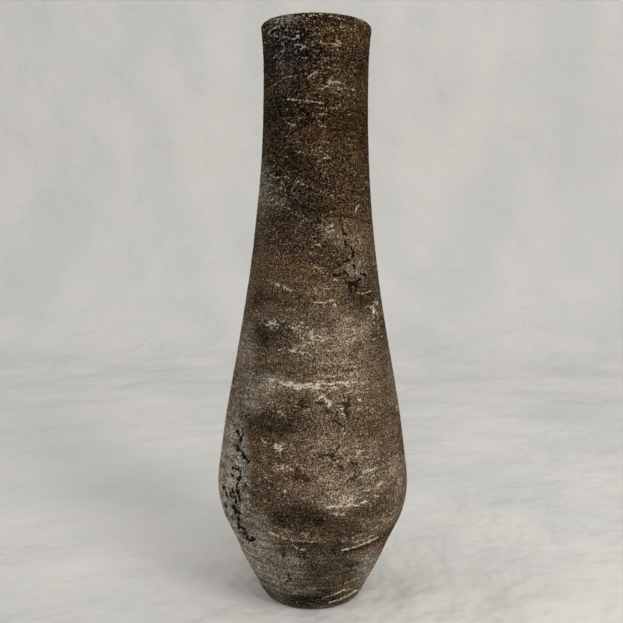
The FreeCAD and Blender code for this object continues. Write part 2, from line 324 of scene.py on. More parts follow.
# %% From the foot to the throat
foot = spot(FOOT_RADIUS, 0)
belly_centre = spot(BELLY_RADIUS - BELLY_ROUND, BELLY_HEIGHT)
spoke = belly_centre - foot
run = math.sqrt(spoke @ spoke - BELLY_ROUND ** 2)
along = np.array([spoke[0] * run + spoke[1] * BELLY_ROUND, spoke[1] * run - spoke[0] * BELLY_ROUND])
bowl_end = foot + along * run / (spoke @ spoke)
bowl_slope = unit(bowl_end - foot)
coat_start = foot + bowl_slope * COAT_START / bowl_slope[1]

shoulder = spot(SHOULDER_RADIUS, SHOULDER_HEIGHT)
throat_low = spot(NECK_RADIUS, THROAT_BOTTOM)
draw, rise = shoulder[0] - throat_low[0], throat_low[1] - shoulder[1]
taper_centre = throat_low + spot((draw ** 2 + rise ** 2) / (2 * draw), 0)
inward = unit(shoulder - taper_centre)
spoke = shoulder - belly_centre
bend = (BELLY_ROUND ** 2 - spoke @ spoke) / (2 * (spoke @ inward + BELLY_ROUND))
flank_centre = shoulder + inward * bend
flank_start = belly_centre + unit(belly_centre - flank_centre) * BELLY_ROUND

# %% From the throat over the lip and down inside
LIP_ROUND = WALL / 2 + COAT
FULL_WALL = WALL + 2 * COAT
lip_centre = spot(NECK_RADIUS + RIM_FLARE - LIP_ROUND, TOTAL_HEIGHT - LIP_ROUND)
flare_rise = lip_centre[1] - THROAT_TOP
flare_bend = (flare_rise ** 2 + RIM_FLARE ** 2) / (2 * RIM_FLARE)
flare_centre = spot(NECK_RADIUS - LIP_ROUND + flare_bend, THROAT_TOP)
to_edge = unit(flare_centre - lip_centre) * LIP_ROUND
lip_top = lip_centre + spot(0, LIP_ROUND)
throat_top, throat_top_inside = spot(NECK_RADIUS, THROAT_TOP), spot(NECK_RADIUS - FULL_WALL, THROAT_TOP)

stretches = [
    straight(coat_start, bowl_end),
    bow(belly_centre, bowl_end, flank_start),
    bow(flank_centre, flank_start, shoulder),
    bow(taper_centre, shoulder, throat_low),
    straight(throat_low, throat_top),
    bow(flare_centre, throat_top, lip_centre + to_edge),
    bow(lip_centre, lip_centre + to_edge, lip_top),
    bow(lip_centre, lip_top, lip_centre - to_edge),
    bow(flare_centre, lip_centre - to_edge, throat_top_inside),
    straight(throat_top_inside, throat_top_inside - spot(0, THROAT_TOP - THROAT_BOTTOM)),
]
outline = np.concatenate(stretches)
steps = np.linalg.norm(np.diff(outline, axis=0), axis=1)
outline = outline[np.r_[True, steps > FINE / 100]]
run_up = np.r_[0, np.cumsum(np.linalg.norm(np.diff(outline, axis=0), axis=1))]
print("outline %.0f mm long, rim at %.1f mm" % (run_up[-1] / MM, outline[:, 1].max() / MM))

# %% [markdown]
# ## The wall as a grid of places
#
# The coat's relief is only a few tenths of a millimetre deep, but it is what makes the surface look
# dry and old. A subdivided and displaced surface could carry it. Here the outline is turned into an even
# grid, a little over a millimetre from place to place, and every mark is worked out on that grid. The
# same numbers then serve the shape and the colour, so that chalk lies on the ridges and not beside them.

# %% The grid
COLUMNS = 560
ROW_STEP = 1.15 * MM
length = np.linspace(0, run_up[-1], int(run_up[-1] / ROW_STEP) + 1)[:, None]
radius = np.interp(length, run_up, outline[:, 0])
height = np.interp(length, run_up, outline[:, 1])
lean = np.gradient(radius, axis=0) / np.gradient(length, axis=0)
climb = np.gradient(height, axis=0) / np.gradient(length, axis=0)
lean, climb = lean / np.hypot(lean, climb), climb / np.hypot(lean, climb)
angle = (np.arange(COLUMNS) / COLUMNS * 2 - 1)[None, :] * math.pi


def turned(reach, level):
    """Points all round the vase. Angle 0 faces the camera."""
    level = np.broadcast_to(level, np.broadcast_shapes(level.shape, angle.shape))
    return np.stack([reach * np.sin(angle), -reach * np.cos(angle), level], axis=-1)


bare = turned(radius, height)
facing = turned(climb, -lean)
lip_row = int(np.argmax(height))
print("grid: %d rows of %d places, lip at row %d" % (*bare.shape[:2], lip_row))

# %% [markdown]
# ## Random swells
#
# Hand work never repeats, so most of the relief is random, but it has grain: wide swells from the
# thrower's hands, flat ridges from the ribs and the brush, and sharp grit in the coat. All of them can be
# drawn from one kind of noise, by changing how wide and how flat one swell is. The seeds make it the
# same on every run.

# %% Swells
# Each size: how wide and how tall one swell is.
RIDGE_SIZE = (110 * MM, 5 * MM)
TURNING_SIZE = (240 * MM, 2.4 * MM)
BRUSH_SIZE = (26 * MM, 2.6 * MM)
GRIT_SIZE = (3.4 * MM, 2.8 * MM)
CLUMP_SIZE = (16 * MM, 9 * MM)
CLOUD_SIZE = (75 * MM, 50 * MM)
TURNING_FULL = 60 * MM
TURNING_ENDS = 160 * MM
MANY = 4096
shuffle = np.random.default_rng(11).permutation(MANY)
slopes = np.random.default_rng(12).normal(size=(MANY, 3)).astype(np.float32)
slopes /= np.linalg.norm(slopes, axis=1)[:, None]


def swells(size, seed):
    """Smooth random hills and hollows all over the wall, about -1 to 1."""
    wide, tall = size
    steps = bare / np.array((wide, wide, tall)) + 17.3 * seed
    corner = np.floor(steps).astype(np.int64)
    part = (steps - corner).astype(np.float32)
    eased = part ** 3 * (part * (part * 6 - 15) + 10)
    total = np.zeros(bare.shape[:-1], np.float32)
    for near in itertools.product((0, 1), repeat=3):
        x, y, z = np.moveaxis(corner + near, -1, 0)
        pick = shuffle[(shuffle[(shuffle[x % MANY] + y) % MANY] + z) % MANY]
        share = np.prod(np.where(near, eased, 1 - eased), axis=-1)
        total += share * (slopes[pick] * (part - np.array(near, np.float32))).sum(-1)
    return total * 1.7


def crumbs(size, seed, layers=2):
    """Swells with finer swells on them, each layer half as wide and half as high."""
    size = np.array(size)
    total = sum(swells(size / 2 ** layer, seed + layer) / 2 ** layer for layer in range(layers))
    return total / sum(0.5 ** layer for layer in range(layers)) * 1.2


def ease(value, low, high):
    """0 below low, 1 above high, and smooth between them."""
    share = np.clip((value - low) / (high - low), 0, 1)
    return share * share * (3 - 2 * share)


ridges = crumbs(RIDGE_SIZE, 1)
turning_lines = crumbs(TURNING_SIZE, 26) * ease(height, TURNING_ENDS, TURNING_FULL)
brushed = crumbs(BRUSH_SIZE, 4)
grit = crumbs(GRIT_SIZE, 7)
clumps = crumbs(CLUMP_SIZE, 10)
clouds = crumbs(CLOUD_SIZE, 13)
print("spread of ridges %.2f, brushed %.2f, grit %.2f" % (ridges.std(), brushed.std(), grit.std()))

# %% [markdown]
# ## Marks placed one by one
#
# The strokes and chips that catch the eye are placed one by one. Each is a short line of places in the
# camera's picture, read from a zoomed view, and the wall is asked how far each of its places lies from
# that line. Painting them by hand in a texture would look as good from one side, but a mark that the
# wall itself carries can also be raised or sunk.

# %% How a stroke covers the wall
WANDER_SIZE = (9 * MM, 9 * MM)
FRAY_SIZE = (4.5 * MM, 4.5 * MM)
across, down = in_picture(bare)
toward = np.array(CAMERA_PLACE) - bare
in_view = (facing * toward).sum(-1) > 0.02 * np.linalg.norm(toward, axis=-1)
in_view[lip_row + 1:] = False
wander_across = 1.3 * swells(WANDER_SIZE, 20)
wander_down = 0.9 * swells(WANDER_SIZE, 21)
fray_across = 1.5 * swells(FRAY_SIZE, 22)
fray_down = swells(FRAY_SIZE, 23)
across, down = across + wander_across, down + wander_down
across[~in_view] = -PICTURE_SIDE
seen = (across, down)
ragged = (across + fray_across, down + fray_down)


def cover(across, down, points, width):
    """1 on a line through the points, falling to 0 at the given width from it."""
    stroke = np.array(points, float)
    low, high = stroke.min(0) - width, stroke.max(0) + width
    near = (across > low[0]) & (across < high[0]) & (down > low[1]) & (down < high[1])
    x, y = across[near], down[near]
    gap = np.hypot(x - stroke[0, 0], y - stroke[0, 1])
    for start, end in zip(stroke, stroke[1:]):
        way = end - start
        share = np.clip(((x - start[0]) * way[0] + (y - start[1]) * way[1]) / (way @ way), 0, 1)
        gap = np.minimum(gap, np.hypot(x - start[0] - share * way[0], y - start[1] - share * way[1]))
    covered = np.zeros(across.shape, np.float32)
    covered[near] = np.clip(1 - gap / width, 0, 1)
    return covered


def haze(across, down, middle, reach):
    """1 in the middle of an oval, falling softly to 0 at its reach."""
    far = ((across - middle[0]) / reach[0]) ** 2 + ((down - middle[1]) / reach[1]) ** 2
    return ease(1 - far, 0, 1)


# %% Chalk that a dry brush left, and a painted highlight on the lip
# Each stroke: its half width in pixels, how thick the chalk lies, and its places in the picture.
CHALK_AND_HIGHLIGHT_STROKES = [
    # The first stroke, a thin pale crescent along the lip's top, is a painted highlight.
    (1.2, 1.2, [(303, 15.5), (320, 15), (335, 17), (346, 20)]),
    (1.5, 1.7, [(268.5, 34), (273.5, 29), (278.5, 26.5)]),
    (1.5, 1.5, [(272, 36.5), (283.5, 37), (295.5, 39)]),
    (1.4, 1.4, [(265, 43), (271, 41.5)]),
    (1.6, 1.4, [(293.5, 44.5), (305, 46)]),
    (1.4, 1.2, [(310, 46), (320, 43), (335, 44), (342, 46)]),
    (1.4, 1.5, [(273.5, 58), (278, 54), (283, 51)]),
    (1.2, 1.0, [(269.5, 22.5), (276.5, 19.5), (283.5, 18.5)]),
    (1.2, 0.9, [(302, 22.5), (309.5, 20), (316.5, 21)]),
    (1.2, 1.0, [(306, 36), (312, 34.5), (320.5, 33.5)]),
    (1.2, 1.0, [(312, 42.5), (318, 40), (323.5, 42.5)]),
    (1.2, 0.8, [(311, 46.5), (316.5, 49.5)]),
    (1.2, 1.0, [(323.5, 28), (329.5, 29.5), (333, 31.5)]),
    (1.2, 0.9, [(335, 39), (341, 42), (346.5, 43.5), (353.5, 41)]),
    (1.3, 0.9, [(353.5, 26.5), (358, 22.5), (360, 21)]),
    (1.2, 0.8, [(329.5, 58), (335, 56), (339.5, 58)]),
    (1.2, 0.8, [(273.5, 68), (279.5, 63.5), (283.5, 63)]),
    (1.2, 0.8, [(305, 72), (309.5, 76)]),
    (1.2, 0.8, [(335, 96.5), (343.5, 94), (355, 95)]),
    (1.2, 0.8, [(316.5, 102), (322, 108), (326.5, 108)]),
    (1.3, 0.7, [(346.5, 115), (355, 113.5)]),
    (1.2, 0.6, [(300.5, 136.5), (312, 135)]),
    (1.3, 0.9, [(273.5, 166.5), (276.5, 163.5)]),
    (1.4, 0.6, [(269.5, 175), (280.5, 177.5), (290.5, 176.5)]),
    (1.4, 0.7, [(276.5, 202), (286.5, 208), (292, 209.5)]),
    (1.3, 0.7, [(266.5, 203.5), (270.5, 208)]),
    (1.2, 0.6, [(323.5, 216.5), (326.5, 221)]),
    (1.4, 1.2, [(272, 90), (278, 82), (284, 77.5), (292, 76.5)]),
    (1.4, 1.2, [(308, 78), (316.5, 71), (323.5, 68), (329, 67)]),
    (1.1, 0.7, [(329, 67), (341, 61.5)]),
    (1.5, 0.9, [(325.5, 82.5), (332, 81), (340.5, 83), (348, 85)]),
    (1.5, 1.0, [(321.5, 89.5), (326.5, 86.5), (335, 87.5), (342, 88), (353.5, 90)]),
    (1.2, 0.7, [(329, 92.5), (343.5, 93.5)]),
    (1.6, 1.1, [(288, 99.5), (302, 101), (312, 101.5), (323.5, 103)]),
    (1.4, 0.8, [(319, 114.5), (326.5, 112.5), (334.5, 108.5), (341, 105)]),
    (1.2, 0.9, [(282, 119.5), (288, 117.5), (302, 118)]),
    (1.3, 1.0, [(283.5, 121), (292, 125), (298, 126.5)]),
    (1.3, 0.8, [(310.5, 121.5), (318, 125), (332, 127.5)]),
    (1.3, 1.0, [(323.5, 142.5), (329.5, 141.5)]),
    (1.2, 0.9, [(286.5, 142), (288, 142.5)]),
    (1.4, 1.0, [(296.5, 152.5), (303.5, 153), (312, 155)]),
    (1.6, 0.6, [(312, 149.5), (322, 146.5)]),
    (1.8, 0.8, [(318, 162), (325, 158), (331, 157.5)]),
    (1.6, 0.6, [(322, 174), (326, 171.5)]),
    (1.5, 0.6, [(348, 174), (355, 171)]),
    (1.2, 0.8, [(363, 189), (366, 182)]),
    (1.8, 0.6, [(293.5, 184), (305, 185), (308, 189)]),
    (1.4, 1.1, [(355, 212), (360, 204)]),
    (1.4, 0.6, [(302, 221), (326, 219.5)]),
    (1.5, 1.2, [(325, 229.5), (329, 226.5), (333.5, 225)]),
    (1.4, 0.9, [(326.5, 232), (335, 230)]),
    (1.4, 0.9, [(311.5, 247), (316, 245), (322, 244)]),
    (2.2, 0.5, [(275, 249), (279, 253)]),
    (1.1, 0.6, [(311, 264), (317, 267.5), (322, 270)]),
    (1.6, 1.2, [(334, 280), (336.5, 280)]),
    (2.4, 0.6, [(272, 281.5), (280, 286.5), (288, 288.5), (295, 293)]),
    (1.3, 1.4, [(313.5, 303), (317, 302), (326.5, 303), (330, 301), (336, 300)]),
    (1.8, 0.8, [(333.5, 303), (336.5, 308)]),
    (1.3, 1.0, [(356.5, 293.5), (361.5, 293.5)]),
    (1.0, 0.8, [(362, 293.5), (373.5, 291)]),
    (1.8, 0.9, [(365, 308), (371.5, 306), (377, 303)]),
    (1.6, 0.9, [(372.5, 308), (374, 318)]),
    (1.4, 0.9, [(287.5, 310), (295, 308)]),
    (1.8, 0.9, [(268, 322), (273, 323.5), (280, 325)]),
    (1.5, 0.8, [(291, 327), (301, 331)]),
    (1.4, 0.6, [(311, 331), (313, 342)]),
    (1.5, 0.7, [(278, 350), (308, 353)]),
    (1.3, 0.6, [(372, 340), (383, 336)]),
    (2.4, 1.0, [(270, 378.5), (281, 382), (289.5, 386)]),
    (3.6, 1.4, [(289, 385), (300, 386.5), (318, 386)]),
    (2.2, 1.1, [(289.5, 386.5), (302, 389)]),
    (2.2, 0.9, [(318, 384), (330, 383.5), (348, 382.5)]),
    (1.5, 0.7, [(326, 387), (339, 388.5)]),
    (2.0, 0.5, [(348, 382.5), (362, 382)]),
    (2.0, 1.2, [(316.5, 399), (323.5, 396), (326.5, 399)]),
    (2.0, 1.2, [(326.5, 399), (332, 403.5), (329.5, 406.5)]),
    (1.2, 0.7, [(306.5, 398.5), (313.5, 400)]),
    (1.3, 1.0, [(340.5, 409), (349.5, 408)]),
    (1.6, 1.4, [(359, 399.5), (360.5, 399.5)]),
    (1.3, 1.2, [(370.5, 410), (375, 408)]),
    (1.3, 1.0, [(280, 411), (282, 415)]),
    (1.2, 0.9, [(261.5, 439), (266, 442.5)]),
    (1.2, 0.5, [(266, 442.5), (275, 446)]),
    (1.8, 0.8, [(275, 443.5), (277.5, 446.5), (281.5, 449)]),
    (1.4, 0.8, [(281.5, 449), (278.5, 453.5)]),
    (2.2, 0.35, [(276, 466), (288, 470)]),
    (1.8, 0.8, [(356.5, 455), (365, 450)]),
    (1.4, 0.6, [(386.5, 437), (392.5, 433)]),
    (1.5, 0.9, [(365, 472.5), (370, 470), (377, 469)]),
    (1.5, 1.0, [(345, 481.5), (350, 479.5)]),
    (1.5, 0.9, [(357, 478), (365, 477.5)]),
    (1.6, 1.3, [(377.5, 485.5), (382.5, 481.5)]),
    (1.3, 1.0, [(366.5, 491), (369.5, 490)]),
    (1.4, 1.2, [(375, 496.5), (378.5, 496)]),
    (1.6, 1.3, [(285, 490), (285.5, 491.5)]),
    (1.2, 0.8, [(311, 499.5), (312.5, 501)]),
    (1.4, 1.1, [(327, 507), (340, 506.5), (351.5, 506)]),
    (1.8, 1.4, [(350, 505.5), (358, 504.5), (367, 501.5)]),
    (1.8, 0.5, [(330, 513.5), (343.5, 515)]),
]
# Each cloud of specks: the middle of an oval, its reach across and down, and how thick the specks lie.
# The clouds by the left edge, near 228 and 238 across, are chalk specks that also lay painted reflected
# light on the shaded side.
SPECKLES_AND_EDGE_LIGHT = [
    ((278, 30), (26, 12), 1.0), ((345, 30), (22, 14), 0.35), ((318, 44), (30, 10), 0.4),
    ((283, 186), (24, 24), 0.55), ((268, 190), (12, 26), 0.6), ((300, 40), (30, 16), 0.25),
    ((333, 85), (18, 11), 0.45), ((340, 112), (22, 9), 0.25), ((325, 153), (16, 8), 0.55),
    ((275, 205), (18, 7), 0.35), ((330, 229), (8, 8), 0.75), ((272, 232), (18, 9), 0.25),
    ((274, 323), (16, 7), 0.9), ((300, 328), (18, 9), 0.8), ((312, 338), (20, 10), 0.8),
    ((345, 345), (22, 22), 0.3), ((374, 315), (10, 22), 0.5), ((310, 386), (34, 8), 0.5),
    ((325, 402), (14, 8), 0.4), ((278, 448), (9, 8), 0.6), ((282, 468), (14, 7), 0.5),
    ((337, 455), (20, 8), 0.35), ((360, 460), (34, 12), 0.25), ((238, 458), (7, 12), 0.8),
    ((340, 500), (38, 12), 0.3), ((228, 480), (10, 22), 0.35), ((284, 578), (18, 13), 0.45),
    ((352, 590), (18, 10), 0.4), ((262, 560), (16, 14), 0.3), ((395, 475), (10, 30), 0.25),
    ((228, 486), (12, 44), 0.9), ((338, 366), (30, 26), 0.3),
]
# The lines along the ledges are given as the strokes are.
LEDGE_LINES = [
    (1.4, 0.5, [(263, 521), (275, 527), (292, 532)]),
    (1.5, 0.8, [(270, 531.5), (278, 536), (287, 539), (300, 541), (316.5, 541.5)]),
    (1.2, 0.5, [(316.5, 541.5), (333.5, 541), (347, 540)]),
    (1.2, 0.6, [(295, 538), (320, 538.5), (327, 540)]),
    (1.3, 0.8, [(292.5, 545), (298.5, 549), (304.5, 550)]),
    (1.3, 1.5, [(342.5, 550), (350, 548.5), (358.5, 546.5), (366.5, 542.5), (377.5, 537.5)]),
    (1.2, 0.4, [(352, 544), (372, 536)]),
    (1.2, 0.4, [(345, 539), (365, 533), (380, 525), (394, 511)]),
    (1.2, 0.4, [(316.5, 556.5), (323.5, 558.5)]),
    (1.5, 1.3, [(321.5, 598.5), (328.5, 596.5), (340, 591.5), (348.5, 588)]),
    (1.5, 1.2, [(328.5, 602.5), (341.5, 599), (357, 590)]),
    (1.6, 0.7, [(343.5, 583), (358, 577)]),
]

# %% Chips and pits where the coat has come away
# Each chip: its half width in pixels, and its places in the picture.
CHIPS = [
    (1.8, [(343, 229), (344.5, 232), (346, 234)]),
    (1.2, [(345, 241), (346.5, 246.5)]),
    (1.6, [(351.5, 247.5), (354, 252), (353.5, 256)]),
    (1.5, [(351.5, 257), (346.5, 261), (344, 262.5)]),
    (1.5, [(354, 265), (356, 268.5)]),
    (1.2, [(340, 264), (341, 268.5), (346.5, 272.5), (348.5, 276.5)]),
    (1.4, [(333.5, 275), (338.5, 276)]),
    (1.8, [(347, 283.5), (353.5, 282.5), (360, 279)]),
    (2.6, [(354.5, 282.5), (356, 286.5)]),
    (1.4, [(348.5, 287.5), (352.5, 285)]),
    (1.3, [(351.5, 286.5), (351, 292.5)]),
    (1.2, [(346, 257.5), (346.5, 261.5)]),
    (1.1, [(341.5, 257.5), (342.5, 259.5)]),
    (1.2, [(338.5, 276.5), (345, 272.5)]),
    (1.1, [(361, 273.5), (366.5, 275)]),
    (1.2, [(356.5, 287.5), (357, 291)]),
    (1.6, [(236.5, 430.5), (238.5, 434.5)]),
    (1.2, [(241.5, 429), (242, 431)]),
    (1.2, [(241.5, 433.5), (240, 438), (240, 443.5)]),
    (1.5, [(236.5, 445.5), (238.5, 451.5)]),
    (2.0, [(238, 450), (241.5, 453), (243, 458), (247, 462)]),
    (1.8, [(233.5, 468), (237, 468.5)]),
    (1.6, [(238, 470), (242, 471.5)]),
    (1.4, [(232, 474), (233.5, 476.5)]),
    (1.4, [(240.5, 472), (238.5, 479.5), (237, 486.5)]),
    (1.3, [(237, 488), (238.5, 495), (240.5, 500.5)]),
    (1.3, [(223.5, 486.5), (226.5, 495), (228, 497)]),
    (1.3, [(232, 488), (234.5, 495), (236.5, 502)]),
    (1.2, [(229.5, 492), (232, 498)]),
    (1.2, [(225, 502), (226, 506.5)]),
    (1.2, [(245.5, 485.5), (246, 486.5)]),
    (2.6, [(233.5, 506.5), (237, 512), (240.5, 515)]),
    (1.2, [(232, 515), (233, 520.5)]),
    (1.8, [(238.5, 518), (238.5, 526.5), (243.5, 529.5)]),
    (2.2, [(243.5, 532), (249.5, 540.5), (254, 539)]),
]
# Shallow pits, where only the chalk and some of the coat are gone. The thin line along the lip, 19 to 24
# down, is sunk a little and darkened as painted shade.
PITS = [
    (2.2, [(343, 402), (348, 405), (346, 412), (349, 418)]), (2.6, [(326, 409), (331, 413), (336, 414)]),
    (1.5, [(318, 403), (325, 404)]), (1.6, [(336, 421), (343, 426)]), (1.5, [(346, 396), (352, 400)]),
    (1.9, [(348, 480), (356, 481)]), (2.2, [(292, 476), (300, 478), (308, 480)]),
    (1.6, [(296, 470), (300, 473)]), (1.5, [(282, 551), (284, 556)]), (1.5, [(289, 574), (291, 580)]),
    (1.6, [(331, 450), (333, 456), (330, 462)]),
    (1.6, [(338, 464), (343, 470)]), (1.5, [(352, 463), (359, 465)]), (1.4, [(308, 427), (310, 427)]),
    (1.6, [(320, 456), (327, 455)]), (1.5, [(278, 322), (285, 326)]), (1.8, [(300, 402), (301, 410)]),
    (1.4, [(262, 338), (268, 341)]), (1.5, [(360, 300), (366, 303)]), (1.4, [(318, 262), (322, 266)]),
    (1.3, [(286, 582), (290, 578)]), (1.1, [(322, 19), (338, 20.5), (352, 24)]),
    (1.3, [(340, 445), (335, 453), (324, 455)]), (1.2, [(332, 461), (341, 458)]),
    (1.3, [(350, 479), (356.5, 477.5), (359, 473.5)]), (1.2, [(298, 544), (317, 544)]),
    (1.2, [(345, 552), (362, 547.5), (380, 539)]), (1.3, [(335, 403), (343.5, 404.5)]),
    (1.4, [(300, 556), (312, 560)]), (1.4, [(345, 566), (358, 563)]), (1.6, [(318, 590), (330, 592)]),
]

# %% Tones that the coat drifts through
SMOKE_STARTS = 340 * MM
SMOKE_FULL = 620 * MM
# Each patch: the middle of an oval in the picture, its reach across and down, and how strong it is.
PATCHES = {
    "soot": [
        ((286, 44), (24, 28), 0.95), ((290, 76), (18, 18), 0.6), ((276, 112), (20, 26), 0.55),
        ((306, 56), (18, 10), 0.5), ((272, 134), (12, 20), 0.2), ((290, 228), (16, 18), 0.45),
        # The ovals at 599 and 604 down make the coat darker along the foot.
        ((270, 334), (34, 20), 0.3), ((268, 425), (36, 18), 0.25), ((314, 599), (36, 9), 1.0),
        ((300, 575), (40, 14), 0.3), ((300, 203), (26, 13), 0.4), ((305, 517), (42, 17), 0.2),
        ((318, 604), (60, 6), 0.5), ((268, 60), (13, 22), 1.0), ((306, 62), (14, 14), 0.5),
        ((236, 505), (6, 10), 0.7), ((240, 522), (5, 9), 0.4),
    ],
    "umber_and_edge_shade": [
        ((344, 122), (24, 18), 0.8), ((310, 133), (20, 12), 0.6), ((312, 205), (26, 16), 0.6),
        ((300, 520), (46, 18), 0.9), ((274, 424), (40, 22), 0.6), ((272, 334), (36, 22), 0.7),
        ((340, 533), (46, 12), 0.6), ((366, 512), (24, 9), 0.6), ((330, 572), (52, 34), 0.7),
        ((316, 550), (54, 16), 0.9), ((350, 55), (20, 30), 0.4), ((278, 305), (22, 16), 0.4),
        ((300, 170), (24, 20), 0.4), ((262, 290), (14, 40), 0.5), ((357, 304), (28, 20), 0.8),
        ((355, 95), (22, 34), 0.5), ((294, 498), (22, 12), 0.35), ((362, 432), (18, 14), 0.4),
        ((275, 552), (22, 15), 0.8),
        # The narrow ovals at 362, 379 and 383 across darken the right side near its outline: painted edge
        # shade.
        ((362, 100), (10, 70), 0.8), ((250, 425), (24, 22), 0.5), ((383, 360), (14, 36), 0.5),
        ((322, 94), (52, 18), 0.4), ((348, 120), (26, 20), 0.5), ((316, 210), (16, 18), 0.5),
        ((302, 300), (16, 18), 0.5), ((379, 330), (14, 20), 0.6), ((284, 368), (42, 20), 0.45),
    ],
    "taupe": [
        ((345, 335), (34, 40), 1.0), ((338, 364), (34, 32), 1.0), ((320, 385), (66, 14), 0.6),
        ((337, 490), (28, 30), 0.9), ((325, 402), (20, 12), 0.5), ((318, 300), (34, 24), 0.4),
        ((362, 562), (18, 12), 0.8), ((345, 452), (50, 20), 0.5), ((330, 466), (22, 16), 0.4),
        ((330, 229), (14, 14), 0.5), ((395, 480), (16, 40), 0.5), ((300, 356), (60, 26), 0.3),
        ((350, 238), (26, 20), 0.6), ((355, 266), (16, 18), 0.5), ((392, 436), (12, 20), 0.45),
        ((378, 556), (16, 16), 0.3),
    ],
    "ochre": [
        ((355, 230), (34, 32), 0.5), ((300, 266), (50, 18), 0.5), ((368, 412), (38, 44), 0.6),
        ((322, 290), (44, 20), 0.5), ((328, 84), (26, 16), 0.45), ((326, 149), (34, 10), 0.6),
        ((350, 125), (26, 105), 0.4), ((345, 35), (34, 26), 0.6), ((350, 370), (60, 60), 0.3),
        ((260, 466), (24, 18), 0.3),
    ],
    "rust": [
        ((294, 478), (26, 9), 1.0), ((342, 116), (34, 16), 0.15), ((290, 270), (38, 18), 0.4),
        ((256, 440), (14, 16), 0.6), ((345, 208), (20, 16), 0.3), ((340, 150), (44, 120), 0.1),
        ((300, 539), (46, 7), 0.6), ((318, 135), (34, 14), 0.28), ((386, 440), (14, 20), 0.3),
        ((320, 455), (60, 30), 0.25),
    ],
    "olive": [
        ((300, 592), (74, 36), 0.9), ((340, 568), (44, 24), 0.5), ((268, 566), (34, 30), 0.6),
        ((310, 545), (70, 22), 0.4),
    ],
    # Ash grey on the neck and near the foot; the tall ovals by the left edge, 226 to 250 across, are painted
    # reflected light on the shaded side.
    "ash_and_reflected_light": [
        ((232, 480), (22, 90), 1.0), ((250, 560), (34, 60), 0.55), ((246, 392), (26, 30), 0.25),
        ((286, 62), (12, 36), 0.15), ((246, 345), (14, 34), 0.35), ((262, 182), (12, 28), 0.38),
        ((272, 200), (16, 26), 0.15), ((284, 19), (26, 7), 0.4), ((268, 380), (26, 10), 0.3),
        ((283, 572), (32, 26), 0.5), ((372, 575), (24, 30), 0.5), ((226, 492), (14, 30), 1.0),
        ((290, 590), (40, 12), 0.3),
    ],
}

# %% [markdown]
# ## Marks on the sides and the back
#
# The picture shows only the front. The brush went all the way round, so the rest gets marks of the same
# kinds: strokes, specks, chips in broken chains and drifting tones, as dense as on the front. They are
# scattered by seeded chance, in pixels of the same size measured along the wall.

# %% Scattered marks
PIXEL_ON_WALL = 1.28 * MM
UNSEEN_HALF_TURN = math.radians(108)
SCATTERED_STROKES = 95
SCATTERED_CHAINS = 11
SCATTERED_SPECKLES = 46
SCATTERED_PATCHES = 9
chance = np.random.default_rng(31)
outer_length = float(length[lip_row, 0])


def beside(turn, rise):
    """Pixels across and down from a place on the wall, given its angle and its distance up from the foot."""
    swing = (angle - turn + math.pi) % (2 * math.pi) - math.pi
    right, below = swing * radius / PIXEL_ON_WALL, (rise - length) / PIXEL_ON_WALL
    return right + wander_across + 0.6 * fray_across, below + wander_down + 0.6 * fray_down


def unseen_spot():
    """A random place on the outside, where the camera doesn't look."""
    return math.pi + chance.uniform(-1, 1) * UNSEEN_HALF_TURN, chance.uniform(0.03, 0.97) * outer_length


def scattered_strokes(count):
    for _ in range(count):
        half, tilt, sag = 2 + chance.exponential(6), chance.normal(0, 0.28), chance.uniform(-2.5, 2.5)
        points = [(-half, -half * tilt), (0, sag), (half, half * tilt)]
        yield chance.uniform(1.2, 2.4), chance.uniform(0.3, 1.2), points, beside(*unseen_spot())


def scattered_chips(chains, links):
    for _ in range(chains):
        at, place = beside(*unseen_spot()), np.zeros(2)
        for _ in range(int(chance.integers(2, links))):
            points = [place + chance.normal(0, 2.4, 2)]
            for _ in range(int(chance.integers(1, 3))):
                points.append(points[-1] + chance.normal((0, 3.5), (2.2, 3.5)))
            yield chance.uniform(1.2, 2.3), points, at
            place = points[-1]


def scattered_hazes(count, widths, heights):
    """Soft ovals, with the least and the most that they reach across and down."""
    for _ in range(count):
        reach = (chance.uniform(*widths), chance.uniform(*heights))
        strength = chance.uniform(0.25, 0.6)
        yield strength * haze(*beside(*unseen_spot()), (0, 0), reach)


# %% All marks brought together on the wall
DASH_SIZE = (6.5 * MM, 2.4 * MM)
THREAD_SIZE = (8 * MM, 4.5 * MM)
SHARD_SIZE = (4.5 * MM, 5.5 * MM)
FLECK_SIZE = (2.6 * MM, 2.4 * MM)
CRACKLE_SIZE = (7 * MM, 9 * MM)
RAGGED_FROM_WIDTH = 1.7
dashes = crumbs(DASH_SIZE, 16)
threads = ease(abs(swells(THREAD_SIZE, 33)), 0.13, 0.03) * ease(dashes + clumps, -0.5, 0.1)
shards = crumbs(SHARD_SIZE, 29)
flecks = crumbs(FLECK_SIZE, 19, 1)
crackle = ease(abs(swells(CRACKLE_SIZE, 51)), 0.09, 0.02) * ease(shards, -0.3, 0.2)


def painted(wall, width, thickness, points, at):
    """The chalk on the wall with one more stroke."""
    return np.maximum(wall, thickness * ease(cover(*at, points, width), 0, 0.8))


def flaked(marks_made):
    """Ragged fragments where the coat came away along the given lines."""
    broken = np.zeros_like(strokes)
    cracked = np.zeros_like(strokes)
    for width, points, at in marks_made:
        broken = np.maximum(broken, cover(*at, points, width * 2.3))
        cracked = np.maximum(cracked, cover(*at, points, width * 5))
    fragments = ease(0.9 * broken + 0.42 * shards + 0.3 * flecks, 0.54, 0.64) * (broken > 0.05)
    return np.maximum(fragments, 0.8 * crackle * ease(cracked, 0.1, 0.6))


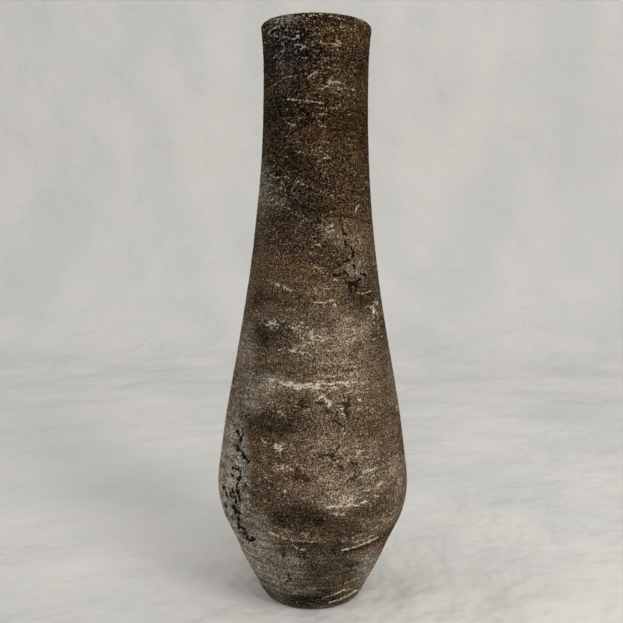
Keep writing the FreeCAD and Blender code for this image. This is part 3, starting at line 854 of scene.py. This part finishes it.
strokes = np.zeros(in_view.shape, np.float32)
for width, thickness, points in CHALK_AND_HIGHLIGHT_STROKES:
    strokes = painted(strokes, width, thickness, points, ragged if width > RAGGED_FROM_WIDTH else seen)
for stroke in scattered_strokes(SCATTERED_STROKES):
    strokes = painted(strokes, *stroke)

speckles_and_edge_light = np.zeros_like(strokes)
for middle, reach, thickness in SPECKLES_AND_EDGE_LIGHT:
    speckles_and_edge_light = np.maximum(speckles_and_edge_light, thickness * haze(across, down, middle, reach))
for specks in scattered_hazes(SCATTERED_SPECKLES, (9, 24), (6, 13)):
    speckles_and_edge_light = np.maximum(speckles_and_edge_light, specks)

ledge = np.zeros_like(strokes)
for line in LEDGE_LINES:
    ledge = painted(ledge, *line, seen)

scattered = list(scattered_chips(SCATTERED_CHAINS, 8))
chip = flaked([(width, points, seen) for width, points in CHIPS] + scattered)
pit = flaked([(width, points, seen) for width, points in PITS])

smoked_height = ease(height, SMOKE_STARTS, SMOKE_FULL)
tones = {}
for name, patches in PATCHES.items():
    held_back = 1 - 0.85 * smoked_height if name in ("ash_and_reflected_light", "taupe") else 1
    drift = np.zeros_like(strokes)
    for middle, reach, strength in patches:
        drift = np.maximum(drift, strength * haze(across, down, middle, reach))
    for patch in scattered_hazes(SCATTERED_PATCHES, (16, 46), (12, 34)):
        drift = np.maximum(drift, patch * held_back)
    tones[name] = np.clip(drift * (1 + 0.9 * clumps + 0.6 * brushed + 0.5 * clouds), 0, 1)
tones["smoke"] = np.clip(smoked_height * (0.9 + 0.4 * clouds), 0, 1)
print("strokes on %.1f%% of the wall, chips on %.2f%%" % (100 * (strokes > 0.5).mean(), 100 * chip.mean()))

# %% [markdown]
# ## Relief
#
# Heights come in the order in which the pot was made: the thrower's slight unevenness, the ridges of the
# ribs, the brushed and gritty coat, then chalk on what stands proud and chips where it broke away. The
# coat is a millimetre and a half thick, and no chip reaches through it.

# %% The coat's relief
HAND_UNEVENNESS = 0.3 * MM
HAND_SIZE = (150 * MM, 190 * MM)
TAPER_BULGE = 1.3 * MM
FLANK_HOLLOW = 1.2 * MM
BOWL_BULGE = 1.2 * MM
FOOT_WEAR = 1.3 * MM
RIDGE_HEIGHT = 0.22 * MM
BRUSH_HEIGHT = 0.14 * MM
GRIT_HEIGHT = 0.18 * MM
CRINKLE_HEIGHT = 0.3 * MM
CHALK_HEIGHT = 0.10 * MM
LEDGE_HEIGHT = 0.22 * MM
CHIP_DEPTH = 0.6 * MM
PIT_DEPTH = 0.25 * MM
THINNEST_COAT = 0.12 * MM
RIM_TILT = 0.007
RIM_TILT_STARTS = 0.85
LIP_HIGHLIGHT_ROWS = 4
INSIDE_EASE_ROWS = 12
# Heights between which a form grows, stays full and fades again. The foot's wear only fades, and the
# rim's crinkles only grow.
WORN_FOOT = (4 * MM, 15 * MM)
BULGING_BOWL = (18 * MM, 45 * MM, 60 * MM, 85 * MM)
HOLLOW_FLANK = (170 * MM, 215 * MM, 280 * MM, 345 * MM)
BULGING_TAPER = (320 * MM, 390 * MM, 500 * MM, 600 * MM)
CRINKLED_RIM = (670 * MM, 725 * MM)


def stretch_of_wall(starts, full, fading, ends):
    """1 in the middle of a stretch of the wall, easing to 0 below and above it."""
    return ease(height, starts, full) * ease(height, ends, fading)


left = -np.sin(angle)
from_lip = np.arange(len(length))[:, None] - lip_row
near_rim = ease(bare[..., 2], *CRINKLED_RIM)
dryness = 0.3 * clouds + 0.3 * clumps + 0.2 * brushed + 0.2 * turning_lines + 0.4 * dashes
dryness += threads * (0.1 + 0.95 * tones["smoke"] + 0.85 * near_rim)
dryness -= 0.57 * tones["smoke"] + 0.25 * near_rim + 0.25 * tones["umber_and_edge_shade"] + 0.15 * tones["soot"]
# A pale band of chalk a few rows below the lip's crest is a painted highlight, where the rounded lip catches
# the light.
lip_highlight = 0.7 * ease(abs(from_lip + LIP_HIGHLIGHT_ROWS), LIP_HIGHLIGHT_ROWS, 1)
chalk_and_highlight = 1.25 * strokes * np.clip(0.9 + 0.9 * dashes, 0.2, 1.2) + ledge * (0.9 + 0.5 * dashes) + lip_highlight
chalk_and_highlight += speckles_and_edge_light * (0.5 + 1.3 * threads) * np.clip(0.75 + 1.3 * dashes, 0, 1.3)
chalk_and_highlight = np.clip(chalk_and_highlight + dryness, -1, 1.15) * (1 - chip) * (1 - 0.8 * pit)
raised = ease(chalk_and_highlight + 0.6 * grit, 0.4, 1)
relief = HAND_UNEVENNESS * swells(HAND_SIZE, 40)
relief += TAPER_BULGE * stretch_of_wall(*BULGING_TAPER) * ease(left, -0.3, 1)
relief += BOWL_BULGE * stretch_of_wall(*BULGING_BOWL) - FLANK_HOLLOW * stretch_of_wall(*HOLLOW_FLANK)
relief -= FOOT_WEAR * ease(height, *WORN_FOOT[::-1]) * (0.55 + 0.45 * ease(left, -0.2, 0.8))
relief += RIDGE_HEIGHT * (ridges + turning_lines) + BRUSH_HEIGHT * brushed + GRIT_HEIGHT * grit
relief += CRINKLE_HEIGHT * threads * (0.3 * tones["smoke"] + 0.7 * near_rim)
relief += CHALK_HEIGHT * raised + LEDGE_HEIGHT * ledge - CHIP_DEPTH * chip - PIT_DEPTH * pit
relief = np.maximum(relief, THINNEST_COAT - COAT)
relief = relief * (1 - 0.5 * ease(from_lip, 0, INSIDE_EASE_ROWS))
places = bare + facing * relief[..., None]
places[..., 2] -= RIM_TILT * bare[..., 0] * ease(height / TOTAL_HEIGHT, RIM_TILT_STARTS, 1)
backing = bare - facing * COAT
print("relief from %.2f to %.2f mm" % (relief.min() / MM, relief.max() / MM))

# %% [markdown]
# ## Coat pieces
#
# One mesh could hold the whole skin, but it would be heavy to handle. It is divided where the sections
# of the vase meet, so each piece belongs to one section. Every piece is a closed shell: the sculpted
# face, a plain back on the clay, and a narrow edge above and below.

# %% Building a band of the coat
BACK_STEP = 12


def band(name, first, last):
    """A closed shell from one row of the grid to another, with the coat's marks on it."""
    back_rows = list(range(first, last, BACK_STEP)) + [last]
    rows = np.concatenate([places[first:last + 1], backing[back_rows][::-1]])
    count = len(rows)
    here = np.arange(count * COLUMNS).reshape(count, COLUMNS)
    upper, beyond = np.roll(here, -1, axis=0), np.roll(here, -1, axis=1)
    faces = np.stack([here, beyond, np.roll(upper, -1, axis=1), upper], axis=-1).reshape(-1, 4)
    mesh = bpy.data.meshes.new(name)
    mesh.vertices.add(count * COLUMNS)
    mesh.vertices.foreach_set("co", rows.astype(np.float32).ravel())
    mesh.loops.add(faces.size)
    mesh.loops.foreach_set("vertex_index", faces.astype(np.int32).ravel())
    mesh.polygons.add(len(faces))
    mesh.polygons.foreach_set("loop_start", np.arange(0, faces.size, 4, dtype=np.int32))
    mesh.polygons.foreach_set("loop_total", np.full(len(faces), 4, np.int32))
    mesh.update(calc_edges=True)
    mesh.polygons.foreach_set("use_smooth", np.ones(len(faces), bool))
    for label, mask in marks.items():
        shown = np.concatenate([mask[first:last + 1], mask[back_rows][::-1]])
        layer = mesh.attributes.new(label, "FLOAT", "POINT")
        layer.data.foreach_set("value", shown.astype(np.float32).ravel())
    side = (np.arange(COLUMNS)[None, :] + np.array([0, 1, 1, 0])[:, None]) / COLUMNS
    up = np.arange(count)[:, None] + np.array([0, 0, 1, 1])[None, :]
    flat = np.empty((count, COLUMNS, 4, 2), np.float32)
    flat[..., 0] = side.T[None]
    flat[..., 1] = up[:, None, :] / count
    mesh.uv_layers.new(name="OFBake").uv.foreach_set("vector", flat.ravel())
    piece = bpy.data.objects.new(name, mesh)
    bpy.context.scene.collection.objects.link(piece)
    print("%s: %d places, %d triangles" % (name, count * COLUMNS, 2 * len(faces)))
    return piece


marks = {"chalk_and_highlight": chalk_and_highlight, "chip": chip, "pit": pit, "turning": turning_lines, "rim": near_rim, **tones}
seams = (BELLY_SEAM, SHOULDER_HEIGHT, NECK_SEAM, THROAT_BOTTOM)
seam_rows = [int(np.argmin(abs(height[:lip_row, 0] - seam))) for seam in seams]
edges = [0, *seam_rows, len(length) - 1]
band_names = ["coat_on_bowl", "coat_on_belly", "coat_on_shoulder", "coat_on_neck", "coat_on_mouth"]
coat_pieces = [band(name, first, last) for name, first, last in zip(band_names, edges, edges[1:])]
for piece in coat_pieces:
    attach(piece, "root")
    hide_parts("mineral_coat")

# %% [markdown]
# ## The coat's finish
#
# The coat is ground minerals in a thin binder, brushed on in layers from soot black to chalk. It has next
# to no gloss. Its colour is built up in the same order: the drifting tones, long flat streaks from the
# brush, a salt and pepper of grains, then the chalk and the chips that the mesh already carries.

# %% Tones and the coat
UMBER = tone(73, 57, 42)
DEEP_UMBER_AND_SHADE = tone(38, 28, 18)
SMOKE = tone(26, 17, 7)
SOOT = tone(17, 18, 20)
TAUPE = tone(141, 123, 102)
OCHRE = tone(97, 73, 41)
RUST = tone(86, 55, 34)
ASH_AND_REFLECTED_LIGHT = tone(152, 148, 136)
OLIVE = tone(57, 54, 39)
CHALK = tone(214, 201, 178)
SMOKED_CHALK = tone(166, 147, 120)
FROST = tone(172, 169, 163)
CHIP_BLACK = tone(20, 17, 15)
DRIFT_WIDTH = 90 * MM
STREAK_WIDTH = 30 * MM
SCATTER_WIDTH = 5 * MM
DUST_WIDTH = 2.9 * MM
CRUST_WIDTH = 2.3 * MM
SALT_WIDTH = 2.0 * MM
GRAIN_WIDTH = 1.9 * MM
SILT_WIDTH = 1.3 * MM
GRAIN_RELIEF = 0.25 * MM

coat = Finish("weathered_mineral_coat")
ground = coat.blend(UMBER, TAUPE, coat.between(coat.cloud(DRIFT_WIDTH, 1.6, 3), 0.42, 0.62, 0, 0.3))
for label, colour, most in [
    # Deep umber also lays painted edge shade by the right outline.
    ("smoke", SMOKE, 1.15), ("taupe", TAUPE, 0.8), ("ochre", OCHRE, 0.55), ("umber_and_edge_shade", DEEP_UMBER_AND_SHADE, 0.7),
    # Ash grey also lays painted reflected light along the left edge.
    ("rust", RUST, 0.8), ("olive", OLIVE, 0.75), ("ash_and_reflected_light", ASH_AND_REFLECTED_LIGHT, 1), ("soot", SOOT, 0.8),
]:
    scatter = coat.between(coat.cloud(SCATTER_WIDTH, 1.4, 3, 0.7), 0.36, 0.64, 0.45 * most, 1.25 * most)
    ground = coat.blend(ground, colour, coat.times(coat.mark(label), scatter, True))
streaks = coat.between(coat.cloud(STREAK_WIDTH, 9, 4, 0.65), 0.3, 0.7, 0.7, 1.3)
ground = coat.shade(ground, streaks)
turned_tone = coat.between(coat.mark("turning"), -0.6, 0.6, 0.68, 1.32)
ground = coat.shade(ground, turned_tone)
grains = coat.cloud(GRAIN_WIDTH, 1.15, 3, 0.7)
low_grains = coat.grey(coat.between(grains, 0.38, 0.62, 0.38, 1.64))
high_grains = coat.grey(coat.between(grains, 0.39, 0.62, 0.2, 1.84))
grain_tone = coat.blend(low_grains, high_grains, coat.mark("smoke"))
ground = coat.blend(ground, grain_tone, 1, "MULTIPLY")
silt = coat.between(coat.cloud(SILT_WIDTH, 1, 1, 0.6), 0.38, 0.62, 0.12, 1.9)
ground = coat.shade(ground, silt)
dust = coat.between(coat.cloud(DUST_WIDTH, 1.3, 2, 0.6), 0.43, 0.57, 0.25, 1.9)
smoked = coat.sum(coat.times(coat.mark("smoke"), 0.75), coat.mark("rim"), "MAXIMUM")
ground = coat.blend(ground, coat.grey(dust), smoked, "MULTIPLY")
crust = coat.cloud(CRUST_WIDTH, 1.3, 2, 0.65)
# The chalk mask also carries the painted highlights on the lip.
chalky_and_highlight = coat.mark("chalk_and_highlight")
reach = coat.sum(crust, coat.times(chalky_and_highlight, 0.17))
thickness = coat.between(chalky_and_highlight, -0.3, 1.0, 0.3, 0.95)
covered = coat.times(coat.between(reach, 0.58, 0.66), thickness)
chalk_tone = coat.blend(CHALK, SMOKED_CHALK, coat.mark("smoke"))
chalk_tone = coat.blend(chalk_tone, FROST, coat.mark("soot"))
chalk_tone = coat.shade(chalk_tone, coat.between(grains, 0.4, 0.6, 0.72, 1.2))
salt = coat.between(coat.cloud(SALT_WIDTH, 1.1, 2, 0.6), 0.6, 0.67, 0, 0.4)
salt = coat.times(salt, coat.between(coat.mark("smoke"), 0, 1, 1, 1.6))
for label in ("soot", "umber_and_edge_shade"):
    salt = coat.times(salt, coat.between(coat.mark(label), 0, 0.9, 1, 0.1))
ground = coat.blend(ground, chalk_tone, salt)
ground = coat.blend(ground, chalk_tone, covered)
ragged_edge = coat.times(crust, 0.9)
# Pits turn deep umber; on the thin line along the lip this is painted shade.
sunk = coat.between(coat.sum(coat.mark("pit"), ragged_edge), 0.8, 1.0, 0, 0.78)
ground = coat.blend(ground, DEEP_UMBER_AND_SHADE, sunk)
broken = coat.between(coat.sum(coat.mark("chip"), ragged_edge), 0.86, 1.04)
broken = coat.times(broken, coat.between(grains, 0.5, 0.64, 1, 0.86))
ground = coat.blend(ground, CHIP_BLACK, broken)
coat.put(ground, coat.shader.inputs["Base Color"])
coat.put(coat.between(grains, 0.3, 0.7, 0.95, 0.8), coat.shader.inputs["Roughness"])
coat.put(coat.between(grains, 0.45, 0.65, 0, 0.06), coat.shader.inputs["Specular IOR Level"])
coat.emboss(grains, GRAIN_RELIEF)
for piece in coat_pieces:
    piece.data.materials.append(coat.material)

# %% [markdown]
# ## Bare clay and slip
#
# Inside and under the foot the clay was never coated. The fired clay is a warm grey brown with sand in
# it and the fine rings of throwing. The foot is darker and rubbed by every floor it stood on. The slip in
# the joints is the same clay without the sand, so it fired smoother and paler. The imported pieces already
# have the right shape, so they only get a finish, each in the slot it came with.

# %% Fired clay, foot clay and slip
RING_WIDTH = 60 * MM
BLUSH_WIDTH = 45 * MM


def clay_finish(name, dark, light, sand_cell, sand_depth, ring_flat):
    clay = Finish(name)
    rings = clay.cloud(RING_WIDTH, ring_flat, 3, 0.6)
    body = clay.blend(dark, light, clay.between(rings, 0.35, 0.65))
    blush = clay.between(clay.cloud(BLUSH_WIDTH, 1, 3), 0.4, 0.65, 0, 0.45)
    body = clay.blend(body, RUST, blush)
    sand = clay.cloud(sand_cell, 1, 3, 0.7)
    body = clay.shade(body, clay.between(sand, 0.32, 0.68, 0.55, 1.35))
    pale_grains = clay.between(clay.cloud(1.5 * sand_cell, 1, 1), 0.66, 0.7, 0, 0.6)
    body = clay.blend(body, CHALK, pale_grains)
    clay.put(body, clay.shader.inputs["Base Color"])
    clay.put(clay.between(sand, 0.3, 0.7, 0.95, 0.8), clay.shader.inputs["Roughness"])
    clay.put(0.1, clay.shader.inputs["Specular IOR Level"])
    clay.emboss(clay.sum(clay.times(rings, 2), sand), sand_depth)
    return clay.material


inside_clay = clay_finish("bare_fired_clay", tone(118, 88, 64), tone(150, 120, 92), 1.6 * MM, 0.35 * MM, 22)
foot_clay = clay_finish("rubbed_foot_clay", tone(84, 66, 50), tone(122, 100, 78), 1.9 * MM, 0.3 * MM, 1)
slip = clay_finish("smooth_joint_slip", tone(140, 112, 86), tone(168, 142, 114), 1.1 * MM, 0.15 * MM, 8)
clay_finishes = {"fired_clay": inside_clay, "foot_clay": foot_clay, "joint_slip": slip}
for name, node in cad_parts.items():
    for slot in node.material_slots:
        slot.material = clay_finishes.get(slot.material.name, slot.material)
        print("%s: %s" % (name, slot.material.name))
